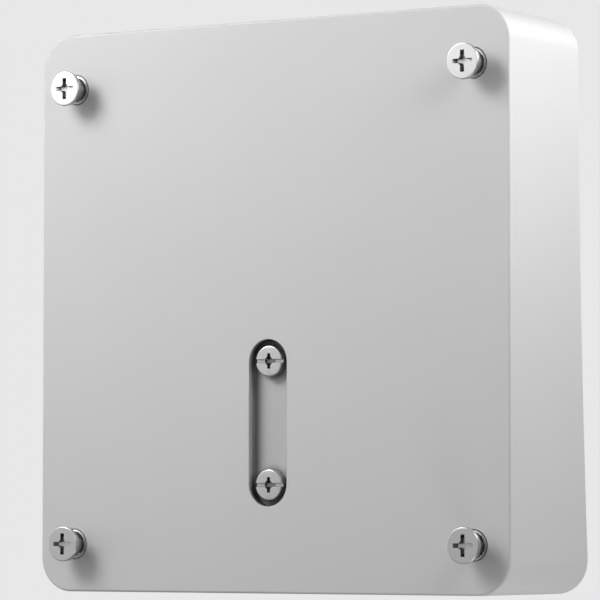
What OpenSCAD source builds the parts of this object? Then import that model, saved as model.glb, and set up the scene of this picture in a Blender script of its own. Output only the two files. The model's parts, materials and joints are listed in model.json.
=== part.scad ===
// Access point: an aluminium unibody housing whose back face carries four captive keyhole studs,
// and an inner module (cover, chassis and board) that two recessed screws draw into the housing.
// Frame: X across the back face, Z up, Y from the back face (Y = 0) into the body and the room.
// Origin: the centre of the four studs, on the plane of the back face.

/* [Housing] */
// Width of the housing
housing_w = 125; // [122:1:140]
// Height of the housing
housing_h = 130; // [128:1:145]
// Depth of the housing at its top edge
depth_top = 32.2; // [32:0.1:36]
// How much deeper the housing is at its bottom edge than at its top edge
flare = 4.5; // [2:0.5:8]
// Radius of the housing's four corners
corner_r = 8; // [6:0.5:10]
// Width of the chamfer round the back face
edge_chamfer = 0.5; // [0.2:0.1:0.8]
// Thickness of the back plate
back_t = 3; // [2.6:0.1:3.4]
// Thickness of the wall outside the cover
rim_t = 2; // [1.6:0.1:2.2]
// Thickness of the wall behind the cover's ledge
wall_t = 3.6; // [3.6:0.1:4]

/* [Mounting studs] */
// Distance between studs across the back face
stud_dx = 106.5; // [104:0.5:107]
// Distance between studs up the back face
stud_dz = 106; // [104:0.5:108]
// How far the middle of the studs lies below the middle of the face
stud_drop = 1; // [0:0.5:2]
// Diameter of a stud's flat, thin head
stud_head_d = 8; // [7.5:0.1:8.5]
// Thickness of the head
stud_head_h = 1.1; // [1:0.1:1.4]
// Gap under the head when the stud is fully out
stud_gap = 3.7; // [3.4:0.1:4]
// Diameter of the plain neck under the head
stud_neck_d = 4.7; // [4.4:0.1:4.9]
// Diameter of the thread
stud_thread_d = 4; // [3.8:0.1:4]
// Pitch of the thread
stud_pitch = 0.7; // [0.5:0.1:0.7]
// Turns from fully out to clamped
stud_turns = 4; // [1:1:4]

/* [Recess] */
// Length of the recess in the back face
recess_l = 37.8; // [36:0.2:40]
// Width of the recess
recess_w = 10; // [9:0.5:11]
// Depth of the recess
recess_depth = 2.4; // [2.2:0.1:2.6]
// Height of the middle of the recess above the middle of the studs
recess_z = -25.5; // [-28:0.1:-24]
// Diameter of a recess screw's cheese head
recess_head_d = 7; // [6.5:0.1:7.5]

/* [Cover] */
// Thickness of the room-side cover
cover_t = 2.2; // [1.8:0.1:2.4]
// Gap between the cover and the rim
cover_gap = 0.3; // [0.2:0.1:0.5]

/* [Network socket] */
// Width of the socket's shell
jack_w = 16; // [15.5:0.5:17]
// Height of the socket's shell off the board
jack_h = 13.5; // [13:0.1:13.6]
// Length of the socket's shell
jack_l = 21; // [20:0.5:23]

/* [Reset button] */
// Distance of the button from the middle of the bottom wall
button_x = 18; // [16:1:22]
// Diameter of the button
button_d = 3.6; // [3:0.1:4]
// Travel of the button
button_travel = 0.6; // [0.4:0.1:0.6]

/* [Hidden] */
$fn = 96;
eps = 0.01;
running_gap = 0.05;
thread_gap = 0.03;

// Housing
face_z = stud_drop;
top_z = face_z + housing_h / 2;
bottom_z = face_z - housing_h / 2;
depth_bottom = depth_top + flare;
sweep_r = (housing_h * housing_h + flare * flare) / (2 * flare);
ledge_y = 28;
gasket_t = 0.8;
skirt_y = ledge_y + gasket_t;
skirt_t = 1.6;
skirt_inset = rim_t + cover_gap;

// Studs, numbered from the upper left, clockwise as seen from behind the back face
stud_at = [
    [-stud_dx / 2, stud_dz / 2], [stud_dx / 2, stud_dz / 2],
    [stud_dx / 2, -stud_dz / 2], [-stud_dx / 2, -stud_dz / 2]
];
stud_travel = stud_turns * stud_pitch;
insert_r = 3.3;
insert_y = 0.1;
insert_end = 8;
mouth_r = 3.55;
mouth_depth = 0.9;
well_r = 2.75;
well_end = insert_y + stud_travel + 0.4;
boss_r = 5.55;
clip_t = 0.6;
clip_r = 3.2;
clip_gap = 0.1;
clip_y = insert_end + 0.3;
groove_r = 1.5;
stud_end = clip_y + clip_t + clip_gap + 1.2;

// Recess and its screws
recess_screw_z = [recess_z + 14, recess_z - 14];
recess_head_y = 0.4;
recess_shank_r = 2;
pad_y = 5.4;
pad_margin = 4;

// Chassis and board
chassis_y = 8;
chassis_t = 1.5;
chassis_front = chassis_y + chassis_t;
board_y = 12;
board_t = 1.6;
board_front = board_y + board_t;
board_half_w = 46;
board_z = [bottom_z + wall_t + 0.9, 58];
small_shank_r = 1.25;
cover_post_r = 3;
cover_post_at = [[-40, 50], [40, 50], [40, -50], [-40, -50]];
board_screw_at = [[-42, 24], [42, 24], [42, -25], [-42, -25]];

// Chips, pads and cans: middle, width and height
processor_at = [0, 24];
processor_w = 16;
radio_at = [[-26, 8], [26, 8]];
radio_w = 10;
memory_at = [[-8, 44], [8, 44]];
pad_t = 0.8;
can_size = [26, 22, 3.2];
can_wall = 0.3;

// Network socket
jack_z = bottom_z + 0.3;
jack_shell_t = 0.3;
plug_w = 11.8;
plug_y = [board_front + 2.4, board_front + 10.6];
plug_depth = 13;
latch_w = 6;
latch_h = 1.8;
contact_count = 8;
contact_pitch = 1.02;
contact_w = 0.4;
port_gap = 0.2;

// Transformer
transformer_at = [-24, -38];
window_y = [board_front + 2, board_front + 9];

// Status light
light_at = [0, 34];
led_h = 1.5;
guide_r = 1.5;

// Reset button
button_y = 19;
button_out = bottom_z + 0.3;
wall_in = bottom_z + wall_t;
flange_z = [wall_in + 0.3, wall_in + 1.1];
switch_z = flange_z[1] + button_travel + 0.6;
plunger_r = 1.2;

// A flat shape drawn in X and Z, standing between two depths
module slab(y0, y1) {
    translate([0, y1, 0])
        rotate([90, 0, 0])
            linear_extrude(y1 - y0)
                children();
}

// A round bar along Y
module rod(at, r, y0, y1) {
    translate([at[0], y1, at[1]])
        rotate([90, 0, 0])
            cylinder(r = r, h = y1 - y0);
}

// A block between two corners
module block(low, high) {
    translate(low)
        cube(high - low);
}

// A block on the board's room side, or between two depths, centred on a point of the board
module chip(at, w, h, y0, y1) {
    block([at[0] - w / 2, y0, at[1] - h / 2], [at[0] + w / 2, y1, at[1] + h / 2]);
}

// A profile turned about Y: its first coordinate is the radius, its second the depth
module turned(at) {
    translate([at[0], 0, at[1]])
        rotate([-90, 0, 0])
            rotate_extrude()
                children();
}

// The housing's outline, drawn in by an inset
module outline(inset) {
    w = housing_w / 2 - inset;
    h = housing_h / 2 - inset;
    r = max(corner_r - inset, 1);
    translate([0, face_z]) {
        square([2 * w, 2 * (h - r)], center = true);
        square([2 * (w - r), 2 * h], center = true);
        for (x = [-1, 1], z = [-1, 1])
            translate([x * (w - r), z * (h - r)])
                circle(r);
    }
}

// A flat shape with round ends, its long side along Z, centred on the recess
module stadium(width, length) {
    run = length - width;
    translate([0, recess_z]) {
        square([width, run], center = true);
        for (z = [-1, 1])
            translate([0, z * run / 2])
                circle(width / 2);
    }
}

// Everything on the room side of the swept room-side face, or of a face that lies behind it
module beyond_sweep(behind = 0) {
    translate([0, depth_top + sweep_r, top_z])
        rotate([0, 90, 0])
            cylinder(r = sweep_r + behind, h = housing_w + 20, center = true, $fn = 1440);
}

// The first part of the housing's block, drawn in to the chamfer's width at the back face
module chamfered_start() {
    w = housing_w / 2;
    h = housing_h / 2;
    c = edge_chamfer;
    for (x = [-1, 1], z = [-1, 1])
        translate([x * (w - corner_r), 0, face_z + z * (h - corner_r)])
            rotate([-90, 0, 0])
                cylinder(r1 = corner_r - c, r2 = corner_r, h = c);
    translate([0, 0, face_z - h + corner_r])
        linear_extrude(housing_h - 2 * corner_r)
            polygon([[-w + c, 0], [w - c, 0], [w, c], [-w, c]]);
    translate([corner_r - w, 0, face_z])
        rotate([90, 0, 90])
            linear_extrude(housing_w - 2 * corner_r)
                polygon([[0, -h + c], [0, h - c], [c, h], [c, -h]]);
}

module housing() {
    color("silver")
        difference() {
            union() {
                difference() {
                    union() {
                        chamfered_start();
                        slab(edge_chamfer, depth_bottom + 1)
                            outline(0);
                    }
                    slab(back_t, ledge_y + 1)
                        outline(wall_t);
                    slab(ledge_y, depth_bottom + 2)
                        outline(rim_t);
                }
                for (at = stud_at)
                    rod(at, boss_r, back_t - 1, insert_end);
                slab(back_t - 1, pad_y)
                    stadium(recess_w + 2 * pad_margin, recess_l + 2 * pad_margin);
            }
            beyond_sweep();
            for (at = stud_at) {
                rod(at, insert_r, -1, insert_end + 1);
                rod(at, mouth_r, -1, mouth_depth);
            }
            slab(-1, recess_depth)
                stadium(recess_w, recess_l);
            for (z = recess_screw_z)
                rod([0, z], recess_shank_r + 0.2, recess_depth - 1, pad_y + 1);
            block(
                [-jack_w / 2 - port_gap, board_front - port_gap, bottom_z - 1],
                [jack_w / 2 + port_gap, board_front + jack_h + port_gap, wall_in + 1]
            );
            translate([button_x, button_y, bottom_z - 1])
                cylinder(d = button_d + 0.16, h = wall_t + 2);
        }
}

module threaded_inserts() {
    color("gainsboro")
        for (at = stud_at)
            difference() {
                rod(at, insert_r, insert_y, insert_end);
                rod(at, well_r, insert_y - 1, well_end);
                rod(at, stud_thread_d / 2 + running_gap, insert_y, insert_end + 1);
            }
}

// A cross recess cut from a depth downwards, with its wings along X and Z
module cross_recess(at, y, span, wing, depth) {
    chip(at, span, wing, y - 1, y + depth * 0.7);
    chip(at, wing, span, y - 1, y + depth * 0.7);
    translate([at[0], y, at[1]])
        rotate([-90, 0, 0])
            cylinder(d1 = wing * 2.6, d2 = wing * 0.8, h = depth);
}

// A half section of a round head whose outer edge is rounded; it grows from depth y to y + h
module head_section(r, h, y, edge) {
    translate([0, y])
        square([r - edge, h]);
    translate([0, y + edge])
        square([r, h - edge]);
    translate([r - edge, y + edge])
        circle(edge);
}

module mount_screw(at) {
    head_y = -stud_gap - stud_head_h;
    thread_r = stud_thread_d / 2;
    groove_y = clip_y - clip_gap;
    groove_end = clip_y + clip_t + clip_gap;
    color("whitesmoke")
        difference() {
            turned(at) {
                head_section(stud_head_d / 2, stud_head_h, head_y, 0.2);
                polygon([
                    [0, -stud_gap - eps], [stud_neck_d / 2, -stud_gap - eps],
                    [stud_neck_d / 2, insert_y], [thread_r, insert_y],
                    [thread_r, groove_y], [groove_r, groove_y],
                    [groove_r, groove_end], [thread_r, groove_end],
                    [thread_r, stud_end], [0, stud_end]
                ]);
            }
            cross_recess(at, head_y, 4.7, 1.05, 1.6);
        }
}

module screw_clip(at) {
    color("dimgray")
        difference() {
            rod(at, clip_r, clip_y, clip_y + clip_t);
            rod(at, groove_r + running_gap, clip_y - 1, clip_y + clip_t + 1);
        }
}

module chassis_screws() {
    head_h = recess_depth - recess_head_y;
    shank_end = chassis_front + 0.9;
    color("whitesmoke")
        for (z = recess_screw_z)
            difference() {
                turned([0, z]) {
                    head_section(recess_head_d / 2, head_h, recess_head_y, 0.3);
                    translate([0, recess_depth - eps])
                        square([recess_shank_r, shank_end - recess_depth]);
                }
                chip([0, z], recess_head_d + 1, 0.9, recess_head_y - 1, recess_head_y + 0.8);
                cross_recess([0, z], recess_head_y, 3.5, 0.85, 1.4);
            }
}

module front_cover() {
    color("white")
        difference() {
            union() {
                difference() {
                    slab(skirt_y, depth_bottom + 1)
                        outline(skirt_inset);
                    difference() {
                        slab(skirt_y - 1, depth_bottom + 1)
                            outline(skirt_inset + skirt_t);
                        beyond_sweep(cover_t);
                    }
                }
                for (at = cover_post_at)
                    rod(at, cover_post_r, chassis_front, depth_bottom + 1);
            }
            beyond_sweep();
            for (at = cover_post_at)
                rod(at, small_shank_r + thread_gap, chassis_front - 1, chassis_front + 9);
            rod(light_at, guide_r + running_gap, ledge_y, depth_bottom + 1);
        }
}

module cover_gasket() {
    color("darkgray")
        slab(ledge_y, skirt_y)
            difference() {
                outline(skirt_inset);
                outline(wall_t - 0.1);
            }
}

// A small screw with a plain round head, its head towards the back face or towards the room
module small_screw(at, head_y, tip_y, head_r = 2.3, head_h = 1.5) {
    rise = tip_y > head_y ? 1 : -1;
    difference() {
        union() {
            rod(at, head_r, min(head_y, head_y + rise * head_h), max(head_y, head_y + rise * head_h));
            rod(at, small_shank_r, min(head_y, tip_y), max(head_y, tip_y));
        }
        chip(at, 2.6, 0.6, head_y - 0.6, head_y + 0.6);
        chip(at, 0.6, 2.6, head_y - 0.6, head_y + 0.6);
    }
}

module cover_screws() {
    color("silver")
        for (at = cover_post_at)
            small_screw(at, chassis_y - 1.5, chassis_front + 8);
}

module board_screws() {
    color("silver")
        for (at = board_screw_at)
            small_screw(at, board_front + 1.5, chassis_front + 0.2);
}

module board_standoffs() {
    color("gold")
        for (at = board_screw_at)
            difference() {
                rod(at, 2.6, chassis_front, board_y);
                rod(at, small_shank_r + thread_gap, chassis_front - 1, board_y + 1);
            }
}

module light_guide() {
    color("lightcyan")
        difference() {
            union() {
                rod(light_at, guide_r, board_front + led_h + 0.3, depth_bottom + 1);
                rod(light_at, guide_r + 1, depth_top - cover_t - 1.8, depth_top - cover_t - 0.8);
            }
            beyond_sweep();
        }
}

module chassis() {
    color("lightgray")
        difference() {
            union() {
                block([-45, chassis_y, -56], [45, chassis_front, 56]);
                for (z = recess_screw_z)
                    rod([0, z], 4, pad_y, chassis_y + eps);
            }
            for (z = recess_screw_z)
                rod([0, z], recess_shank_r + thread_gap, pad_y - 1, chassis_front + 1);
            for (at = cover_post_at)
                rod(at, small_shank_r + 0.2, chassis_y - 1, chassis_front + 1);
        }
}

module main_board() {
    color("darkgreen")
        difference() {
            block([-board_half_w, board_y, board_z[0]], [board_half_w, board_front, board_z[1]]);
            for (at = cover_post_at)
                rod(at, cover_post_r + 0.4, board_y - 1, board_front + 1);
            for (at = board_screw_at)
                rod(at, small_shank_r + 0.1, board_y - 1, board_front + 1);
        }
}

module processor() {
    color("dimgray")
        chip(processor_at, processor_w, processor_w, chassis_front + pad_t, board_y);
}

module radio_chips() {
    color("dimgray")
        for (at = radio_at)
            chip(at, radio_w, radio_w, chassis_front + pad_t, board_y);
}

module memory_chips() {
    color("dimgray")
        for (at = memory_at)
            chip(at, 9, 12, board_y - 1.2, board_y);
}

module thermal_pads() {
    color("lightblue") {
        chip(processor_at, processor_w, processor_w, chassis_front, chassis_front + pad_t);
        for (at = radio_at)
            chip(at, radio_w, radio_w, chassis_front, chassis_front + pad_t);
    }
}

module shield_cans() {
    w = can_size[0];
    h = can_size[1];
    top = board_front + can_size[2];
    color("silver")
        for (at = radio_at)
            difference() {
                chip(at, w, h, board_front, top);
                chip(at, w - 2 * can_wall, h - 2 * can_wall, board_front - 1, top - can_wall);
            }
}

// A stamped inverted-F antenna: a strip above the board on a ground leg and a feed leg
module antenna(at, turn) {
    strip_y = board_front + 9;
    color("khaki")
        translate([at[0], 0, at[1]])
            rotate([0, turn, 0]) {
                block([-13, strip_y, -2.5], [13, strip_y + 0.4, 2.5]);
                for (x = [-13, -7])
                    block([x, board_front, -1.2], [x + 0.4, strip_y + 0.2, 1.2]);
            }
}

module ethernet_jack() {
    t = jack_shell_t;
    w = jack_w / 2;
    top = board_front + jack_h;
    color("silver")
        difference() {
            block([-w, board_front, jack_z], [w, top, jack_z + jack_l]);
            block([-w + t, board_front - 1, jack_z - 1], [w - t, top - t, jack_z + jack_l - t]);
        }
}

module jack_insert() {
    w = jack_w / 2 - jack_shell_t;
    top = board_front + jack_h - jack_shell_t;
    color("dimgray")
        difference() {
            block([-w, board_front, jack_z], [w, top, jack_z + jack_l - jack_shell_t]);
            block([-plug_w / 2, plug_y[0], jack_z - 1], [plug_w / 2, plug_y[1], jack_z + plug_depth]);
            block([-latch_w / 2, plug_y[1] - 1, jack_z - 1], [latch_w / 2, plug_y[1] + latch_h, jack_z + 10]);
        }
}

module jack_contacts() {
    foot = plug_y[0];
    color("gold")
        for (n = [0:contact_count - 1])
            translate([(n - (contact_count - 1) / 2) * contact_pitch - contact_w / 2, 0, 0])
                rotate([90, 0, 90])
                    linear_extrude(contact_w)
                        polygon([
                            [foot, jack_z + 1.6], [foot + 0.3, jack_z + 1.6],
                            [foot + 2.4, jack_z + 9.6], [foot + 2.1, jack_z + 9.8], [foot, jack_z + 2.2]
                        ]);
}

module lan_magnetics() {
    color("dimgray")
        chip([24, -40], 13, 16, board_front, board_front + 4);
}

module transformer_core() {
    color("gray")
        difference() {
            chip(transformer_at, 18, 16, board_front, board_front + 11);
            for (side = [-1, 1])
                chip(transformer_at + [5.5 * side, 0], 4, 20, window_y[0], window_y[1]);
        }
}

// The winding fills the two windows of the core, round its middle leg
module transformer_coil() {
    gap = 0.1;
    color("goldenrod")
        difference() {
            chip(transformer_at, 15 - 2 * gap, 22, window_y[0] + gap, window_y[1] - gap);
            chip(transformer_at, 7 + 2 * gap, 16 + 2 * gap, board_front, board_front + 11);
        }
}

module power_inductors() {
    color("dimgray")
        for (z = [-12, -22])
            chip([24, z], 8, 8, board_front, board_front + 4.2);
}

module power_capacitors() {
    color("slategray")
        for (x = [-30, -20, -10])
            rod([x, -18], 4, board_front, board_front + 10.5);
}

module status_led() {
    color("ivory")
        chip(light_at, 3, 3, board_front, board_front + led_h);
}

module reset_button() {
    color("darkgray")
        translate([button_x, button_y, 0]) {
            translate([0, 0, button_out])
                cylinder(d = button_d, h = flange_z[1] - button_out);
            translate([0, 0, flange_z[0]])
                cylinder(d = button_d + 2, h = flange_z[1] - flange_z[0]);
        }
}

module switch_plunger() {
    color("black")
        translate([button_x, button_y, flange_z[1]])
            cylinder(r = plunger_r, h = switch_z + 0.8 - flange_z[1]);
}

module reset_switch() {
    color("dimgray")
        difference() {
            block(
                [button_x - 3, board_front, switch_z],
                [button_x + 3, button_y + 2.4, switch_z + 4]
            );
            translate([button_x, button_y, switch_z - 1])
                cylinder(r = plunger_r + running_gap, h = button_travel + 2.2);
        }
}

housing();
threaded_inserts();
chassis_screws();
for (n = [1:4]) {
    mount_screw(stud_at[n - 1]);
    screw_clip(stud_at[n - 1]);
}
front_cover();
cover_gasket();
cover_screws();
light_guide();
chassis();
board_standoffs();
board_screws();
main_board();
processor();
radio_chips();
memory_chips();
thermal_pads();
shield_cans();
antenna([-21, 52], 0);  // antenna_1
antenna([21, 52], 0);  // antenna_2
antenna([42, -1], 90);  // antenna_3
antenna([-42, -1], 90);  // antenna_4
ethernet_jack();
jack_insert();
jack_contacts();
lan_magnetics();
transformer_core();
transformer_coil();
power_inductors();
power_capacitors();
status_led();
reset_button();
reset_switch();
switch_plunger();
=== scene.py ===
"""Looks of the access point: aluminium housing, mounting studs, recess screws, cover, port and reset button.

Lengths are in metres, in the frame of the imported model: X across the back face, Z up, and Y from the back
face to the room.
"""
import json
import math

import bmesh
import bpy
from mathutils import Matrix, Vector
from mathutils.geometry import delaunay_2d_cdt


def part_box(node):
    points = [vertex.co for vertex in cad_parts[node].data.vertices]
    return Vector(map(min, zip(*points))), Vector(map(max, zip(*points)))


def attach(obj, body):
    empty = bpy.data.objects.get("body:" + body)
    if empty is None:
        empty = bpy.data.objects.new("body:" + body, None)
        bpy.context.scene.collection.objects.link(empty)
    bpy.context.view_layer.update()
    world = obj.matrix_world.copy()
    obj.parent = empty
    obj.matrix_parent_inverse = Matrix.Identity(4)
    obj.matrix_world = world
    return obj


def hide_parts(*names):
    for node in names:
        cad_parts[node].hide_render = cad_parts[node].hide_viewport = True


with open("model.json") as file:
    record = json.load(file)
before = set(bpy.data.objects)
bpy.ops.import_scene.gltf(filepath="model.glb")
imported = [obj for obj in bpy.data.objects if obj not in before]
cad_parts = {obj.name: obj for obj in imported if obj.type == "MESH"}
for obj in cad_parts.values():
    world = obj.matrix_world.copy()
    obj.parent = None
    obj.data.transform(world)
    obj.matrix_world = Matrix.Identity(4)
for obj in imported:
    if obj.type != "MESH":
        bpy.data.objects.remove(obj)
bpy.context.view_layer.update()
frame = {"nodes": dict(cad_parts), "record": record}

MM = 0.001
CRISP_ANGLE = 32         # degrees; an edge between faces that turn more than this stays crisp

# ---------------------------------------------------------------- sizes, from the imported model
housing_low, housing_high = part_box("housing")
insert_low, insert_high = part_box("threaded_inserts")
screw_low, screw_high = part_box("mount_screw_1")
clip_low, clip_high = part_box("screw_clip_1")
recess_screw_low, recess_screw_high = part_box("chassis_screws")
cover_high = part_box("front_cover")[1]
jack_low, jack_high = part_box("ethernet_jack")
button_low, button_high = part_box("reset_button")
guide_low, guide_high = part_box("light_guide")

HALF_W = (housing_high.x - housing_low.x) / 2
HALF_H = (housing_high.z - housing_low.z) / 2
FACE_Z = (housing_high.z + housing_low.z) / 2
DEPTH_TOP = 32.2 * MM
DEPTH_BOTTOM = housing_high.y
FLARE = DEPTH_BOTTOM - DEPTH_TOP
SWEEP_R = ((2 * HALF_H) ** 2 + FLARE ** 2) / (2 * FLARE)
CORNER_R = 8 * MM
BACK_T = 3 * MM
RIM_T = 2 * MM
WALL_T = 3.6 * MM
LEDGE_Y = 28 * MM

studs = frame["record"]["mounts"][0]
STUD_X = studs["dims"]["spacing_x_mm"] / 2 * MM
STUD_Z = studs["dims"]["spacing_y_mm"] / 2 * MM
NECK_R = studs["dims"]["stud_r_mm"] * MM
STUDS = [(-STUD_X, STUD_Z), (STUD_X, STUD_Z), (STUD_X, -STUD_Z), (-STUD_X, -STUD_Z)]
HEAD_R = (screw_high.x - screw_low.x) / 2
HEAD_Y = screw_low.y
HEAD_H = 1.1 * MM
THREAD_R = 2 * MM
THREAD_PITCH = 0.7 * MM
GROOVE_R = 1.5 * MM
INSERT_R = 3.3 * MM
MOUTH_R = 3.55 * MM
MOUTH_DEPTH = 0.9 * MM
BOSS_R = 5.55 * MM
WELL_R = 2.75 * MM
WELL_END = 3.3 * MM
# each cross: reach, wing width, depth, and reach between the wings
STUD_CROSS = (2.45 * MM, 1.0 * MM, 1.1 * MM, 1.0 * MM)

RECESS_L = 37.8 * MM
RECESS_W = 10 * MM
RECESS_DEPTH = 2.4 * MM
RECESS_Z = (recess_screw_low.z + recess_screw_high.z) / 2
RECESS_HEAD_R = (recess_screw_high.x - recess_screw_low.x) / 2
RECESS_SCREWS = [(0, recess_screw_high.z - RECESS_HEAD_R), (0, recess_screw_low.z + RECESS_HEAD_R)]
RECESS_HEAD_Y = recess_screw_low.y
RECESS_SHANK_R = 2 * MM
RECESS_CROSS = (1.75 * MM, 0.8 * MM, 1.3 * MM, 1.05 * MM)
SLOT_W = 0.9 * MM
SLOT_DEPTH = 0.75 * MM
PAD_Y = 5.4 * MM
PAD_MARGIN = 4 * MM

COVER_T = 2.2 * MM
SKIRT_T = 1.6 * MM
SKIRT_INSET = HALF_W - cover_high.x
SKIRT_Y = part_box("cover_gasket")[1].y
COVER_POSTS = [(-40 * MM, 50 * MM), (40 * MM, 50 * MM), (40 * MM, -50 * MM), (-40 * MM, -50 * MM)]
COVER_POST_R = 3 * MM
COVER_POST_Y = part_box("chassis")[1].y
POST_HOLE_R = 1.28 * MM
POST_HOLE_DEPTH = 9 * MM
GUIDE = ((guide_low.x + guide_high.x) / 2, (guide_low.z + guide_high.z) / 2)
GUIDE_R = 1.5 * MM
BUTTON = ((button_low.x + button_high.x) / 2, (button_low.y + button_high.y) / 2)
BUTTON_R = 1.8 * MM


def sweep_y(z, behind=0.0):
    """Depth of the swept room-side face at a height, or of a face that lies behind it."""
    fall = housing_high.z - z
    return DEPTH_TOP + SWEEP_R - math.sqrt((SWEEP_R + behind) ** 2 - fall ** 2)


# ---------------------------------------------------------------- outlines, as lists of (x, z)
def arc(centre, radius, start, end, steps):
    """Points of an arc between two angles in degrees, both ends included."""
    turns = [math.radians(start + (end - start) * k / steps) for k in range(steps + 1)]
    return [(centre[0] + radius * math.cos(t), centre[1] + radius * math.sin(t)) for t in turns]


def spread(a, b, steps):
    """Points between a and b, neither included."""
    return [(a[0] + (b[0] - a[0]) * k / steps, a[1] + (b[1] - a[1]) * k / steps) for k in range(1, steps)]


def outline(inset, corner_steps=14, side_steps=24):
    """The housing's rounded outline drawn in by an inset, counter-clockwise from the right-hand side."""
    r = max(CORNER_R - inset, 1 * MM)
    x, z = HALF_W - inset - r, HALF_H - inset - r
    points = []
    for n, (sx, sz) in enumerate([(1, 1), (-1, 1), (-1, -1), (1, -1)]):
        corner = arc((sx * x, FACE_Z + sz * z), r, 90 * n, 90 * (n + 1), corner_steps)
        if points:
            points += spread(points[-1], corner[0], side_steps)
        points += corner
    return points + spread(points[-1], points[0], side_steps)


def circle(centre, radius, steps=48):
    return arc(centre, radius, 0, 360, steps)[:-1]


def stadium(width, length, grow=0.0, steps=20):
    """Outline of the recess, with round ends above and below."""
    r = width / 2 + grow
    run = (length - width) / 2
    return arc((0, RECESS_Z + run), r, 0, 180, steps) + arc((0, RECESS_Z - run), r, 180, 360, steps)


def rounded_box(low, high, r, steps=4):
    points = []
    for n, (cx, cz) in enumerate([(high[0] - r, high[1] - r), (low[0] + r, high[1] - r),
                                  (low[0] + r, low[1] + r), (high[0] - r, low[1] + r)]):
        points += arc((cx, cz), r, 90 * n, 90 * (n + 1), steps)
    return points


def inside(point, loop):
    """Whether a point lies inside a closed outline."""
    x, z = point
    hit = False
    for (x0, z0), (x1, z1) in zip(loop, loop[1:] + loop[:1]):
        if (z0 > z) != (z1 > z) and x < x0 + (z - z0) * (x1 - x0) / (z1 - z0):
            hit = not hit
    return hit


# ---------------------------------------------------------------- mesh building
class Build:
    """A mesh made of closed loops of points, bands between them and filled faces."""

    def __init__(self):
        self.bm = bmesh.new()
        self.finish = 0      # which of the piece's materials the next faces take

    def face(self, verts):
        self.bm.faces.new(verts).material_index = self.finish

    def loop(self, points):
        return [self.bm.verts.new(p) for p in points]

    def flat(self, points, y):
        """A loop standing at one depth, or at the depth that a function gives for each height."""
        depth = y if callable(y) else lambda z: y
        return self.loop([(x, depth(z), z) for x, z in points])

    def band(self, a, b, keep=lambda n: True):
        """Quads between two loops with as many points each."""
        for n in range(len(a)):
            m = (n + 1) % len(a)
            if keep(n):
                self.face((a[n], a[m], b[m], b[n]))

    def bands(self, loops):
        for a, b in zip(loops, loops[1:]):
            self.band(a, b)

    def fill(self, outer, holes=(), plane=(0, 2), extra=(), rise=None):
        """Triangles between an outer loop and the holes in it, seen along the axis that plane leaves out.
        The extra points are added inside, at the place that rise gives them."""
        flat = [[(v.co[plane[0]], v.co[plane[1]]) for v in ring] for ring in (outer, *holes)]
        verts = [v for ring in (outer, *holes) for v in ring]
        rings, start = [], 0
        for ring in flat:
            rings.append([start + k for k in range(len(ring))])
            start += len(ring)
        clear = [p for p in extra if inside(p, flat[0]) and not any(inside(p, ring) for ring in flat[1:])]
        verts += self.loop([rise(p) for p in clear])
        points = [Vector(p) for ring in flat for p in ring] + [Vector(p) for p in clear]
        edges = [(ring[k], ring[(k + 1) % len(ring)]) for ring in rings for k in range(len(ring))]
        made, _, faces, origin, _, _ = delaunay_2d_cdt(points, edges, [], 0, 1e-9)
        for face in faces:
            middle = sum((made[k] for k in face), Vector((0, 0))) / len(face)
            if inside(middle, flat[0]) and not any(inside(middle, ring) for ring in flat[1:]):
                self.face([verts[origin[k][0]] for k in face])

    def done(self, name, *materials, smoothed=True):
        """The finished piece. One that is to be cut is smoothed only after its cuts."""
        bmesh.ops.recalc_face_normals(self.bm, faces=self.bm.faces)
        mesh = bpy.data.meshes.new(name)
        self.bm.to_mesh(mesh)
        self.bm.free()
        piece = bpy.data.objects.new(name, mesh)
        bpy.context.scene.collection.objects.link(piece)
        for material in materials:
            mesh.materials.append(material)
        if smoothed:
            smooth(piece)
        return piece


def smooth(piece):
    """Smooth shading, with normals that follow the larger faces and crisp edges kept."""
    mesh = piece.data
    mesh.polygons.foreach_set("use_smooth", [True] * len(mesh.polygons))
    mesh.set_sharp_from_angle(angle=math.radians(CRISP_ANGLE))
    weigh = piece.modifiers.new("weigh", "WEIGHTED_NORMAL")
    weigh.keep_sharp = True
    weigh.weight = 90
    settle(piece)


def settle(piece):
    """Applies a piece's modifiers to its mesh."""
    shown = bpy.context.evaluated_depsgraph_get()
    mesh = bpy.data.meshes.new_from_object(piece.evaluated_get(shown))
    mesh.name = piece.name
    piece.modifiers.clear()
    piece.data = mesh


def fillet(inset, y, radius, start, end, steps=5):
    """Steps of a quarter round about a centre, as (inset, depth) pairs.
    Angles are measured from the outline's side."""
    turns = [math.radians(start + (end - start) * k / steps) for k in range(steps + 1)]
    return [(inset - radius * math.cos(t), y + radius * math.sin(t)) for t in turns]


def lathe(build, centre, profile, steps=72):
    """Turns a profile of (radius, depth) pairs about an axis along Y. A radius of 0 closes an end."""
    loops = []
    for r, y in profile:
        if r > 0:
            loops.append(build.flat(circle(centre, r, steps), y))
        else:
            loops.append(build.loop([(centre[0], y, centre[1])]))
    for a, b in zip(loops, loops[1:]):
        if len(a) == len(b):
            build.band(a, b)
        else:
            tip, ring = (a[0], b) if len(a) == 1 else (b[0], a)
            for n in range(len(ring)):
                build.face((ring[n], ring[(n + 1) % len(ring)], tip))
    return loops


def cut(piece, cutter):
    """Takes the cutter's shape out of a piece."""
    tool = piece.modifiers.new("cut", "BOOLEAN")
    tool.operation = "DIFFERENCE"
    tool.solver = "EXACT"
    tool.material_mode = "TRANSFER"
    tool.object = cutter
    settle(piece)
    bpy.data.objects.remove(cutter)


# ---------------------------------------------------------------- materials
def nodes_of(name):
    material = bpy.data.materials.new(name)
    material.use_nodes = True
    tree = material.node_tree
    shader = tree.nodes["Principled BSDF"]
    return material, tree, shader


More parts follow.
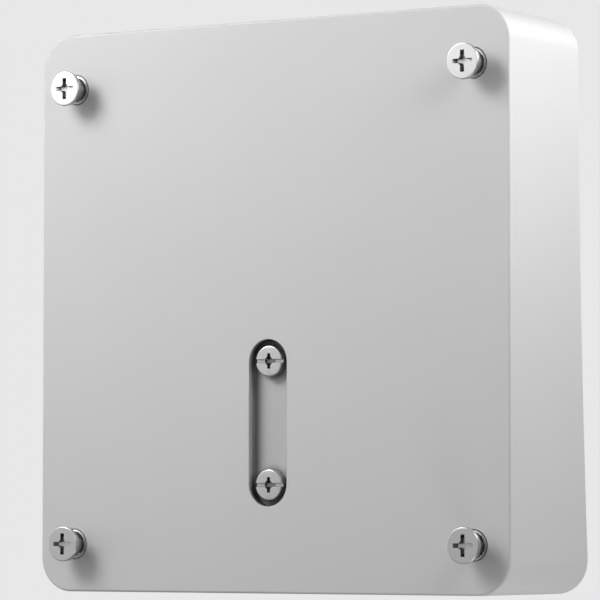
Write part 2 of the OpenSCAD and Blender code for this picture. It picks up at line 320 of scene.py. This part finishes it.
def noise(tree, scale, detail=3.0, rough=0.55, stretch=(1, 1, 1)):
    """A noise pattern fixed to the piece; scale is in patches per metre."""
    place = tree.nodes.new("ShaderNodeTexCoord")
    mapping = tree.nodes.new("ShaderNodeMapping")
    mapping.inputs["Scale"].default_value = stretch
    pattern = tree.nodes.new("ShaderNodeTexNoise")
    pattern.inputs["Scale"].default_value = scale
    pattern.inputs["Detail"].default_value = detail
    pattern.inputs["Roughness"].default_value = rough
    tree.links.new(place.outputs["Object"], mapping.inputs["Vector"])
    tree.links.new(mapping.outputs["Vector"], pattern.inputs["Vector"])
    return pattern.outputs["Fac"]


def span(tree, value, low, high):
    """Maps a pattern from 0.3..0.7 to low..high."""
    ramp = tree.nodes.new("ShaderNodeMapRange")
    ramp.inputs["From Min"].default_value = 0.3
    ramp.inputs["From Max"].default_value = 0.7
    ramp.inputs["To Min"].default_value = low
    ramp.inputs["To Max"].default_value = high
    tree.links.new(value, ramp.inputs["Value"])
    return ramp.outputs["Result"]


def tint(tree, value, dark, light):
    """A colour between two, by a pattern."""
    mix = tree.nodes.new("ShaderNodeMix")
    mix.data_type = "RGBA"
    mix.inputs[6].default_value = (*dark, 1)
    mix.inputs[7].default_value = (*light, 1)
    tree.links.new(value, mix.inputs["Factor"])
    return mix.outputs[2]


def bump(tree, shader, value, distance, strength=1.0):
    """Fine relief; distance is its height in metres. A second call adds to the first."""
    relief = tree.nodes.new("ShaderNodeBump")
    relief.inputs["Strength"].default_value = strength
    relief.inputs["Distance"].default_value = distance
    tree.links.new(value, relief.inputs["Height"])
    before = shader.inputs["Normal"].links
    if before:
        tree.links.new(before[0].from_socket, relief.inputs["Normal"])
    tree.links.new(relief.outputs["Normal"], shader.inputs["Normal"])


def finish_of(name, light, dark, metallic, rough, grain, depth, cloud=40.0, stretch=(1, 1, 1)):
    """A worked surface: colour clouds, roughness that varies with the grain, and the grain's relief."""
    material, tree, shader = nodes_of(name)
    shader.inputs["Metallic"].default_value = metallic
    tree.links.new(tint(tree, noise(tree, cloud, 4.0), dark, light), shader.inputs["Base Color"])
    fine = noise(tree, grain, 2.0, stretch=stretch)
    tree.links.new(span(tree, fine, rough[0], rough[1]), shader.inputs["Roughness"])
    bump(tree, shader, fine, depth)
    return material


def grey(level):
    return (level, level, level)


def painted_shade_in_gaps(material, reach, floor):
    """Darkens a finish where the surface around is close: painted shade in gaps, hollows and corners, from
    ambient occlusion that multiplies its colour.
    """
    tree = material.node_tree
    shader = tree.nodes["Principled BSDF"]
    gap = tree.nodes.new("ShaderNodeAmbientOcclusion")
    gap.samples = 8
    gap.inputs["Distance"].default_value = reach
    shade = tree.nodes.new("ShaderNodeMapRange")
    shade.inputs["From Min"].default_value = 0.25
    shade.inputs["From Max"].default_value = 0.9
    shade.inputs["To Min"].default_value = floor
    tree.links.new(gap.outputs["AO"], shade.inputs["Value"])
    mix = tree.nodes.new("ShaderNodeMix")
    mix.data_type, mix.blend_type = "RGBA", "MULTIPLY"
    mix.inputs["Factor"].default_value = 1.0
    base = shader.inputs["Base Color"].links[0].from_socket
    tree.links.new(base, mix.inputs[6])
    tree.links.new(shade.outputs["Result"], mix.inputs[7])
    tree.links.new(mix.outputs[2], shader.inputs["Base Color"])


ALUMINIUM = finish_of("blasted_aluminium", grey(0.65), grey(0.62), 1.0, (0.77, 0.83), 3200, 0.006 * MM, 25)
# The recess's walls and floor: the same aluminium with painted shade, a darker colour, and darker still near
# its gaps.
SHADED_RECESS_ALUMINIUM = finish_of("recess_aluminium_painted_shade", grey(0.55), grey(0.52), 1.0, (0.70, 0.76), 3200,
                             0.006 * MM, 25)
painted_shade_in_gaps(SHADED_RECESS_ALUMINIUM, 2.2 * MM, 0.1)
STEEL = finish_of("nickel_plated_steel", grey(0.62), grey(0.58), 1.0, (0.33, 0.37), 1500, 0.0002 * MM, 300)
# The walls of the crosses: the plated steel painted far darker, as painted shade inside the recess.
SHADED_DRIVE_STEEL = finish_of("drive_recess_painted_shade", grey(0.28), grey(0.24), 1.0, (0.24, 0.28), 1500, 0.0002 * MM, 300)
# The slot's faces: the plated steel with painted shade near the slot's walls.
SHADED_SLOT_STEEL = finish_of("slot_steel_painted_shade", grey(0.62), grey(0.58), 1.0, (0.33, 0.37), 1500, 0.0002 * MM, 300)
painted_shade_in_gaps(SHADED_SLOT_STEEL, 0.5 * MM, 0.1)
SPRING_STEEL = finish_of("phosphated_spring_steel", grey(0.30), grey(0.22), 1.0, (0.4, 0.5), 2500,
                         0.002 * MM, 300)
SHEET_ALUMINIUM = finish_of("mill_finish_aluminium", grey(0.72), grey(0.66), 1.0, (0.28, 0.40), 900,
                            0.002 * MM, 60, (1, 1, 14))
TIN = finish_of("tin_plate", (0.76, 0.76, 0.74), (0.68, 0.68, 0.66), 1.0, (0.25, 0.40), 700, 0.002 * MM, 120)
GOLD = finish_of("gold_plate", (0.92, 0.72, 0.32), (0.86, 0.64, 0.26), 1.0, (0.18, 0.28), 1500,
                 0.001 * MM, 400)
BRASS = finish_of("turned_brass", (0.80, 0.62, 0.30), (0.72, 0.54, 0.24), 1.0, (0.25, 0.38), 1500,
                  0.002 * MM, 300, (1, 10, 1))
COPPER = finish_of("enamelled_copper", (0.70, 0.33, 0.15), (0.58, 0.25, 0.10), 1.0, (0.25, 0.35), 1200,
                   0.05 * MM, 200, (1, 1, 8))
COVER_PLASTIC = finish_of("white_polycarbonate", (0.82, 0.82, 0.81), (0.79, 0.79, 0.78), 0.0, (0.42, 0.52),
                          2600, 0.008 * MM, 20)
BLACK_PLASTIC = finish_of("black_nylon", grey(0.030), grey(0.020), 0.0, (0.42, 0.55), 1800, 0.006 * MM, 80)
GREY_PLASTIC = finish_of("grey_button_plastic", grey(0.30), grey(0.27), 0.0, (0.40, 0.50), 2200,
                         0.006 * MM, 120)
WHITE_PLASTIC = finish_of("led_body", (0.75, 0.74, 0.68), (0.70, 0.69, 0.62), 0.0, (0.35, 0.45), 1500,
                          0.003 * MM, 200)
SILICONE = finish_of("grey_silicone", (0.30, 0.31, 0.32), (0.26, 0.27, 0.28), 0.0, (0.6, 0.72), 1500,
                     0.01 * MM, 120)
PAD_RUBBER = finish_of("thermal_pad", (0.34, 0.48, 0.62), (0.30, 0.43, 0.57), 0.0, (0.65, 0.8), 1200,
                       0.02 * MM, 150)
FERRITE = finish_of("ferrite", grey(0.085), grey(0.06), 0.0, (0.55, 0.7), 1600, 0.02 * MM, 150)
SLEEVE = finish_of("capacitor_sleeve", (0.05, 0.07, 0.15), (0.04, 0.055, 0.12), 0.0, (0.22, 0.3), 600,
                   0.004 * MM, 80)
SOLDER_MASK = finish_of("solder_mask", (0.03, 0.17, 0.09), (0.02, 0.12, 0.06), 0.0, (0.2, 0.32), 350,
                        0.02 * MM, 260)


def clear_plastic():
    """Moulded clear plastic with a faint frost."""
    material, tree, shader = nodes_of("clear_light_guide")
    shader.inputs["Base Color"].default_value = (0.93, 0.95, 0.96, 1)
    shader.inputs["Transmission Weight"].default_value = 0.6
    shader.inputs["IOR"].default_value = 1.49
    frost = noise(tree, 1500, 2.0)
    tree.links.new(span(tree, frost, 0.28, 0.42), shader.inputs["Roughness"])
    bump(tree, shader, frost, 0.004 * MM)
    return material


CLEAR = clear_plastic()


# ---------------------------------------------------------------- housing
def bottom_openings(lip):
    """Outlines of the port and of the button's hole in the bottom wall, each wider by the lip all round."""
    grow = 0.2 * MM + lip
    port = rounded_box((jack_low.x - grow, jack_low.y - grow), (jack_high.x + grow, jack_high.y + grow),
                       0.4 * MM + lip)
    return [port, circle(BUTTON, BUTTON_R + 0.08 * MM + lip, 32)]


def housing():
    """The unibody: back face with stud holes and recess, side walls up to the swept rim, and the inside."""
    build = Build()
    edge, rim = 0.5 * MM, 0.3 * MM
    corner_steps, side_steps = 14, 24
    at = lambda inset, y: build.flat(outline(inset, corner_steps, side_steps), y)
    back = [at(inset, y) for inset, y in fillet(edge, edge, edge, -90, 0)]
    outer = [at(inset, lambda z, y=y: sweep_y(z) + y) for inset, y in fillet(rim, -rim, rim, 0, 90, 4)]
    inner_rim = [at(inset, lambda z, y=y: sweep_y(z) + y)
                 for inset, y in [(RIM_T - 0.2 * MM, 0), (RIM_T - 0.06 * MM, -0.06 * MM), (RIM_T, -0.2 * MM)]]
    ledge = [at(RIM_T, LEDGE_Y), at(WALL_T, LEDGE_Y)]
    floor = at(WALL_T, BACK_T)
    build.bands(back)
    build.bands(outer + inner_rim + ledge)
    # the bottom wall has the network port and the button's hole, so its straight stretch, which comes after
    # three corners and two other straights, is filled round them
    first = 3 * corner_steps + 2 * side_steps
    straight = range(first, first + side_steps)
    walls = []
    for near, far, z, lip in ((back[-1], outer[0], housing_low.z, 0.15 * MM),
                              (floor, ledge[-1], housing_low.z + WALL_T, 0.0)):
        build.band(near, far, lambda n: n not in straight)
        near_side = [near[n] for n in straight] + [near[straight[-1] + 1]]
        far_side = [far[n] for n in straight] + [far[straight[-1] + 1]]
        rings = [build.loop([(x, y, z) for x, y in ring]) for ring in bottom_openings(lip)]
        build.fill(near_side + far_side[::-1], rings, plane=(0, 1))
        if lip:
            turned_in = [build.loop([(x, y, z + lip) for x, y in ring]) for ring in bottom_openings(0.0)]
            for a, b in zip(rings, turned_in):
                build.band(a, b)
            rings = turned_in
        walls.append(rings)
    for a, b in zip(*walls):
        build.band(a, b)
    # stud holes: a relief round the insert, the bore it is pressed into, and the boss behind it
    face_holes, floor_holes = [], []
    bore_r = INSERT_R + 0.005 * MM
    profile = [(MOUTH_R + 0.12 * MM, 0), (MOUTH_R + 0.03 * MM, 0.03 * MM), (MOUTH_R, 0.12 * MM),
               (MOUTH_R, MOUTH_DEPTH), (bore_r, MOUTH_DEPTH), (bore_r, insert_high.y),
               (BOSS_R, insert_high.y), (BOSS_R, BACK_T)]
    for centre in STUDS:
        loops = lathe(build, centre, profile, 64)
        face_holes.append(loops[0])
        floor_holes.append(loops[-1])
    # recess: a small round at its mouth, straight walls, a round at its floor, and the pad behind it
    mouth, foot = 0.16 * MM, 0.3 * MM
    profile = [(mouth, 0), (0.045 * MM, 0.045 * MM), (0, mouth), (0, RECESS_DEPTH - foot),
               (-0.09 * MM, RECESS_DEPTH - 0.09 * MM), (-foot, RECESS_DEPTH)]
    sides = [build.flat(stadium(RECESS_W, RECESS_L, grow), y) for grow, y in profile]
    # the recess's walls take the second finish, the aluminium with painted shade
    build.finish = 1
    build.bands(sides)
    build.finish = 0
    face_holes.append(sides[0])
    pad = stadium(RECESS_W, RECESS_L, PAD_MARGIN)
    pad_top, pad_foot = build.flat(pad, PAD_Y), build.flat(pad, BACK_T)
    build.band(pad_top, pad_foot)
    floor_holes.append(pad_foot)
    hole_r = RECESS_SHANK_R + 0.2 * MM
    profile = [(hole_r, RECESS_DEPTH), (hole_r, PAD_Y)]
    through = [lathe(build, centre, profile, 40) for centre in RECESS_SCREWS]
    # the recess's floor takes the aluminium with painted shade as well
    build.finish = 1
    build.fill(sides[-1], [loops[0] for loops in through])
    build.finish = 0
    build.fill(pad_top, [loops[1] for loops in through])
    build.fill(back[0], face_holes)
    build.fill(floor, floor_holes)
    return build.done("housing_shell", ALUMINIUM, SHADED_RECESS_ALUMINIUM)


# ---------------------------------------------------------------- screws
def cross_outline(centre, reach, wing, core):
    """A cross with its wings along X and Z; core is the reach of the slanted corners between the wings."""
    w = wing / 2
    quarter = [(reach, -w), (reach, w), (core, w), (w, core)]
    points = []
    for n in range(4):
        c, s = math.cos(math.pi / 2 * n), math.sin(math.pi / 2 * n)
        points += [(centre[0] + c * x - s * z, centre[1] + s * x + c * z) for x, z in quarter]
    return points


def cross_cutter(centre, y, cross, end_finish):
    """The driver's tip: wings whose ends slope in a little, slanted corners between them, and a flat end."""
    reach, wing, depth, core = cross
    build = Build()
    loops = []
    for part in (-0.3, 0.0, 0.5, 1.0):
        deep = max(part, 0)
        loops.append(build.flat(cross_outline(centre, reach * (1 - 0.3 * deep), wing * (1 - 0.2 * deep),
                                              core * (1 - 0.4 * deep)), y + depth * part))
    build.bands(loops)
    build.fill(loops[0])
    build.finish = 1
    build.fill(loops[-1])
    # the cut walls take the steel painted dark as shade; the flat end takes end_finish
    return build.done("cutter", SHADED_DRIVE_STEEL, end_finish, smoothed=False)


def slot_cutter(centre, y):
    """A blade that reaches right across a recess screw's head."""
    build = Build()
    half = 1.2 * RECESS_HEAD_R
    corners = ((1, 1), (-1, 1), (-1, -1), (1, -1))
    box = [(centre[0] + sx * half, centre[1] + sz * SLOT_W / 2) for sx, sz in corners]
    loops = [build.flat(box, y - SLOT_DEPTH), build.flat(box, y + SLOT_DEPTH)]
    build.bands(loops)
    build.fill(loops[0])
    build.fill(loops[1])
    # the slot's cut faces take the steel with painted shade near its walls
    return build.done("cutter", SHADED_SLOT_STEEL, smoothed=False)


def head_profile(radius, top, height, edge):
    """Profile of a flat round head from the middle of its top to its underside, with a rounded edge."""
    flat_r = radius - edge
    points = [(0, top)]
    for k in range(7):
        t = math.radians(15 * k)
        points.append((flat_r + edge * math.sin(t), top + edge * (1 - math.cos(t))))
    foot = top + height
    points += [(radius, foot - 0.1 * MM), (radius - 0.03 * MM, foot - 0.03 * MM), (radius - 0.1 * MM, foot)]
    return points


def thread(build, centre, start, end, depth=0.3 * MM, steps=48):
    """A right-handed thread as one winding surface that fades out at both ends. Returns its end loops."""
    rows = round((end - start) / (THREAD_PITCH / 6))
    loops = []
    for row in range(rows + 1):
        y = start + (end - start) * row / rows
        fade = min(1.0, row / 6, (rows - row) / 6)
        points = []
        for n in range(steps):
            turn = n / steps
            phase = (y / THREAD_PITCH + turn) % 1.0
            r = THREAD_R - fade * depth * abs(2 * phase - 1)
            angle = 2 * math.pi * turn
            points.append((centre[0] + r * math.cos(angle), y, centre[1] + r * math.sin(angle)))
        loops.append(build.loop(points))
    build.bands(loops)
    return loops[0], loops[-1]


def screw(name, centre, head, neck, thread_from, thread_to, tip):
    """A machine screw along Y, not smoothed yet: head and neck profiles, thread, and the tip's profile."""
    build = Build()
    steps = 48
    top = lathe(build, centre, head + neck, steps)
    first, last = thread(build, centre, thread_from, thread_to, steps=steps)
    build.band(top[-1], first)
    end = lathe(build, centre, tip, steps)
    build.band(last, end[0])
    return build.done(name, STEEL, smoothed=False)


def mount_screw(number):
    centre = STUDS[number - 1]
    under = HEAD_Y + HEAD_H
    groove_y, groove_end = clip_low.y - 0.1 * MM, clip_high.y + 0.1 * MM
    head = head_profile(HEAD_R, HEAD_Y, HEAD_H, 0.2 * MM)
    neck = [(NECK_R + 0.15 * MM, under), (NECK_R, under + 0.12 * MM), (NECK_R, 0.02 * MM),
            (NECK_R - 0.08 * MM, 0.1 * MM), (THREAD_R, 0.11 * MM)]
    tip = [(THREAD_R, groove_y), (GROOVE_R, groove_y), (GROOVE_R, groove_end), (THREAD_R, groove_end),
           (THREAD_R, screw_high.y - 0.4 * MM), (THREAD_R - 0.4 * MM, screw_high.y), (0, screw_high.y)]
    piece = screw(f"mounting_stud_{number}", centre, head, neck, 0.2 * MM, groove_y - 0.05 * MM, tip)
    cut(piece, cross_cutter(centre, HEAD_Y, STUD_CROSS, STEEL))
    smooth(piece)
    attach(piece, f"stud_{number}_screw")
    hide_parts(f"mount_screw_{number}")


def chassis_screws():
    """The two recessed screws, each with a combined slot and cross."""
    head = head_profile(RECESS_HEAD_R, RECESS_HEAD_Y, RECESS_DEPTH - RECESS_HEAD_Y, 0.3 * MM)
    end = recess_screw_high.y
    pair = []
    for n, centre in enumerate(RECESS_SCREWS):
        neck = [(RECESS_SHANK_R, RECESS_DEPTH)]
        tip = [(RECESS_SHANK_R, end - 0.5 * MM), (RECESS_SHANK_R - 0.5 * MM, end), (0, end)]
        thread_from, thread_to = RECESS_DEPTH + 0.3 * MM, end - 0.7 * MM
        piece = screw(f"recess_screw_{n + 1}", centre, head, neck, thread_from, thread_to, tip)
        cut(piece, slot_cutter(centre, RECESS_HEAD_Y))
        # the cross's flat end takes the steel painted dark as shade too
        cut(piece, cross_cutter(centre, RECESS_HEAD_Y, RECESS_CROSS, SHADED_DRIVE_STEEL))
        smooth(piece)
        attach(piece, "body")
        pair.append(piece)
    for piece in pair:
        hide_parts("chassis_screws")


def inserts():
    """The four bushes that the studs turn in: a bright ring, a well for the neck, and the threaded bore."""
    build = Build()
    bore = THREAD_R + 0.05 * MM
    top, foot = insert_low.y, insert_high.y
    for centre in STUDS:
        ring = [(INSERT_R, top + 0.12 * MM), (INSERT_R - 0.04 * MM, top + 0.04 * MM),
                (INSERT_R - 0.12 * MM, top), (WELL_R + 0.08 * MM, top), (WELL_R, top + 0.08 * MM),
                (WELL_R, WELL_END), (bore, WELL_END), (bore, foot), (INSERT_R - 0.3 * MM, foot),
                (INSERT_R, foot - 0.3 * MM)]
        loops = lathe(build, centre, ring, 64)
        build.band(loops[-1], loops[0])
    piece = build.done("stud_inserts", STEEL)
    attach(piece, "body")
    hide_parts("threaded_inserts")


# ---------------------------------------------------------------- cover
def cover():
    """The room-side cover: swept face with a rounded edge, skirt, and the posts that its screws run into."""
    build = Build()
    soft = 0.7 * MM
    at = lambda inset, y: build.flat(outline(SKIRT_INSET + inset), y)
    step = 4 * MM
    count_x, count_z = int(HALF_W / step), int(HALF_H / step)
    grid = [(x * step, FACE_Z + z * step)
            for x in range(-count_x, count_x + 1) for z in range(-count_z, count_z + 1)]
    on_face = lambda p: (p[0], sweep_y(p[1]), p[1])
    on_back = lambda p: (p[0], sweep_y(p[1], COVER_T), p[1])
    rounded = [at(inset, lambda z, y=y: sweep_y(z) + y) for inset, y in fillet(soft, -soft, soft, 90, 0, 6)]
    skirt = [at(0, SKIRT_Y), at(SKIRT_T, SKIRT_Y), at(SKIRT_T, lambda z: sweep_y(z, COVER_T))]
    build.bands(rounded + skirt)
    light = [build.flat(circle(GUIDE, GUIDE_R + 0.05 * MM, 32), y)
             for y in (sweep_y, lambda z: sweep_y(z, COVER_T))]
    build.bands(light)
    build.fill(rounded[0], [light[0]], extra=grid, rise=on_face)
    posts = []
    hole_end = COVER_POST_Y + POST_HOLE_DEPTH
    profile = [(COVER_POST_R, COVER_POST_Y), (POST_HOLE_R, COVER_POST_Y), (POST_HOLE_R, hole_end),
               (0, hole_end)]
    for centre in COVER_POSTS:
        root = build.flat(circle(centre, COVER_POST_R, 32), lambda z: sweep_y(z, COVER_T))
        loops = lathe(build, centre, profile, 32)
        build.band(root, loops[0])
        posts.append(root)
    build.fill(skirt[-1], [light[1], *posts], extra=grid, rise=on_back)
    piece = build.done("radome", COVER_PLASTIC)
    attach(piece, "body")
    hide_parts("front_cover")


def reset_button():
    """The button in the bottom wall: a rounded cap with a dished face, and the flange that keeps it in."""
    build = Build()
    low, high = button_low.z, button_high.z
    flange_r = (button_high.x - button_low.x) / 2
    flange_z = high - 0.8 * MM
    dish = [(0, low + 0.15 * MM), (0.6 * MM, low + 0.12 * MM), (1.1 * MM, low + 0.03 * MM), (1.4 * MM, low),
            (1.65 * MM, low + 0.07 * MM)]
    flange = [(BUTTON_R, flange_z), (flange_r, flange_z), (flange_r, high), (0, high)]
    profile = dish + [(BUTTON_R, low + 0.3 * MM)] + flange
    loops = []
    for r, z in profile:
        ring = circle(BUTTON, r, 40) if r else [BUTTON]
        loops.append(build.loop([(x, y, z) for x, y in ring]))
    build.bands(loops[1:-1])
    for tip, ring in ((loops[0][0], loops[1]), (loops[-1][0], loops[-2])):
        for n in range(len(ring)):
            build.face((ring[n], ring[(n + 1) % len(ring)], tip))
    piece = build.done("reset_cap", GREY_PLASTIC)
    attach(piece, "reset_button")
    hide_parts("reset_button")


def dress_frame():
    """Gives every CAD node that stays its finish."""
    finishes = {
        "screw_clip": SPRING_STEEL, "cover_gasket": SILICONE, "cover_screws": STEEL, "light_guide": CLEAR,
        "chassis": SHEET_ALUMINIUM, "board_standoffs": BRASS, "board_screws": STEEL,
        "main_board": SOLDER_MASK,
        "processor": BLACK_PLASTIC, "radio_chips": BLACK_PLASTIC, "memory_chips": BLACK_PLASTIC,
        "thermal_pads": PAD_RUBBER, "shield_cans": TIN, "antenna": TIN, "ethernet_jack": TIN,
        "jack_insert": BLACK_PLASTIC, "jack_contacts": GOLD, "lan_magnetics": BLACK_PLASTIC,
        "transformer_core": FERRITE, "transformer_coil": COPPER, "power_inductors": FERRITE,
        "power_capacitors": SLEEVE, "status_led": WHITE_PLASTIC, "reset_switch": BLACK_PLASTIC,
        "switch_plunger": BLACK_PLASTIC, "housing": ALUMINIUM, "threaded_inserts": STEEL,
        "chassis_screws": STEEL, "mount_screw": STEEL, "front_cover": COVER_PLASTIC,
        "reset_button": GREY_PLASTIC,
    }
    for name, node in frame["nodes"].items():
        key = next(k for k in finishes if name == k or name.rstrip("_1234") == k)
        node.data.materials.clear()
        node.data.materials.append(finishes[key])


# ---------------------------------------------------------------- camera, lights and stage
def camera():
    """A long lens to the right of the back face, a little below its middle and looking slightly up."""
    face = Vector((0, 0, FACE_Z))
    size = 2 * HALF_H
    yaw, pitch, roll = math.radians(31.88), math.radians(3.30), math.radians(0.08)
    ahead = Vector((-math.sin(yaw) * math.cos(pitch), math.cos(yaw) * math.cos(pitch), math.sin(pitch)))
    right = Vector((math.cos(yaw), math.sin(yaw), 0))
    up = right.cross(ahead)
    data = bpy.data.cameras.new("camera")
    data.lens = 237.0
    data.sensor_width = 36.0
    data.clip_start, data.clip_end = 0.05, 60
    cam = bpy.data.objects.new("camera", data)
    bpy.context.scene.collection.objects.link(cam)
    aside, above, away = -0.056, -0.010, 6.877      # from the lens to the face, in face heights
    place = face - size * (aside * right + above * up + away * ahead)
    turn = Matrix((right, up, -ahead)).transposed() @ Matrix.Rotation(roll, 3, "Z")
    cam.matrix_world = Matrix.Translation(place) @ turn.to_4x4()
    bpy.context.scene.camera = cam


def area_light(name, place, size, power):
    """A soft rectangular light aimed at the middle of the body."""
    data = bpy.data.lights.new(name, "AREA")
    data.shape = "RECTANGLE"
    data.size, data.size_y = size
    data.energy = power
    lamp = bpy.data.objects.new(name, data)
    lamp.location = place
    lamp.rotation_euler = (Vector((0, 0.015, 0)) - Vector(place)).to_track_quat("-Z", "Y").to_euler()
    bpy.context.scene.collection.objects.link(lamp)


# place, width and height, power in watts
LIGHTS = {
    "key": ((-0.25, -0.26, 0.30), (0.2, 0.2), 1.04),
    "key_low": ((-0.29, -0.26, 0.26), (0.2, 0.2), 0.51),
    "key_wide": ((-0.25, -0.26, 0.22), (0.3, 0.3), 0.36),
    "side_left": ((-0.50, -0.20, 0.00), (0.3, 0.3), 0.33),
    "left": ((-0.42, -0.68, 0.15), (0.6, 0.2), 0.18),
    "left_low": ((-0.42, -0.68, -0.05), (0.6, 0.2), 0.12),
    "front_low": ((-0.20, -0.50, -0.40), (0.3, 0.3), 0.16),
    "right_front": ((0.21, -0.04, 0.14), (0.10, 0.10), 0.37),
    "right": ((0.22, 0.12, 0.15), (0.12, 0.12), 0.39),
    "right_low": ((0.12, -0.02, -0.22), (0.08, 0.08), 0.16),
    "behind_low": ((0.10, 0.50, -0.30), (0.4, 0.2), 0.80),
}
AMBIENT = 0.24
BACKGROUND = 0.806
FLOOR_Z = -2.5
FLOOR_HALF = 8


def studio_paper():
    """Matt paper that lights the object as any floor does, and looks as pale and even as the surround."""
    material, tree, shader = nodes_of("studio_paper")
    shader.inputs["Base Color"].default_value = (0.8, 0.8, 0.8, 1)
    shader.inputs["Roughness"].default_value = 0.85
    seen = tree.nodes.new("ShaderNodeEmission")
    seen.inputs["Color"].default_value = (BACKGROUND, BACKGROUND, BACKGROUND, 1)
    mix = tree.nodes.new("ShaderNodeMixShader")
    path = tree.nodes.new("ShaderNodeLightPath")
    tree.links.new(path.outputs["Is Camera Ray"], mix.inputs["Fac"])
    tree.links.new(shader.outputs["BSDF"], mix.inputs[1])
    tree.links.new(seen.outputs["Emission"], mix.inputs[2])
    tree.links.new(mix.outputs["Shader"], tree.nodes["Material Output"].inputs["Surface"])
    return material


def studio():
    """Soft lights, an even pale surround, and a pale floor well below the object, which hangs."""
    for name, (place, size, power) in LIGHTS.items():
        area_light(name, place, size, power)
    world = bpy.data.worlds.new("studio")
    world.use_nodes = True
    bpy.context.scene.world = world
    tree = world.node_tree
    tree.nodes.clear()
    out = tree.nodes.new("ShaderNodeOutputWorld")
    mix = tree.nodes.new("ShaderNodeMixShader")
    path = tree.nodes.new("ShaderNodeLightPath")
    ambient, seen = tree.nodes.new("ShaderNodeBackground"), tree.nodes.new("ShaderNodeBackground")
    ambient.inputs["Color"].default_value = (AMBIENT, AMBIENT, AMBIENT, 1)
    seen.inputs["Color"].default_value = (BACKGROUND, BACKGROUND, BACKGROUND, 1)
    tree.links.new(path.outputs["Is Camera Ray"], mix.inputs["Fac"])
    tree.links.new(ambient.outputs[0], mix.inputs[1])
    tree.links.new(seen.outputs[0], mix.inputs[2])
    tree.links.new(mix.outputs[0], out.inputs["Surface"])
    build = Build()
    corners = ((1, -1), (1, 1), (-1, 1), (-1, -1))
    build.fill(build.loop([(sx * FLOOR_HALF, sy * FLOOR_HALF, FLOOR_Z) for sx, sy in corners]), plane=(0, 1))
    build.done("studio_floor", studio_paper())
    bpy.context.scene.view_settings.view_transform = "Standard"


camera()
studio()
dress_frame()
shell = housing()
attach(shell, "body")
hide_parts("housing")
inserts()
for number in (1, 2, 3, 4):
    mount_screw(number)
chassis_screws()
cover()
reset_button()
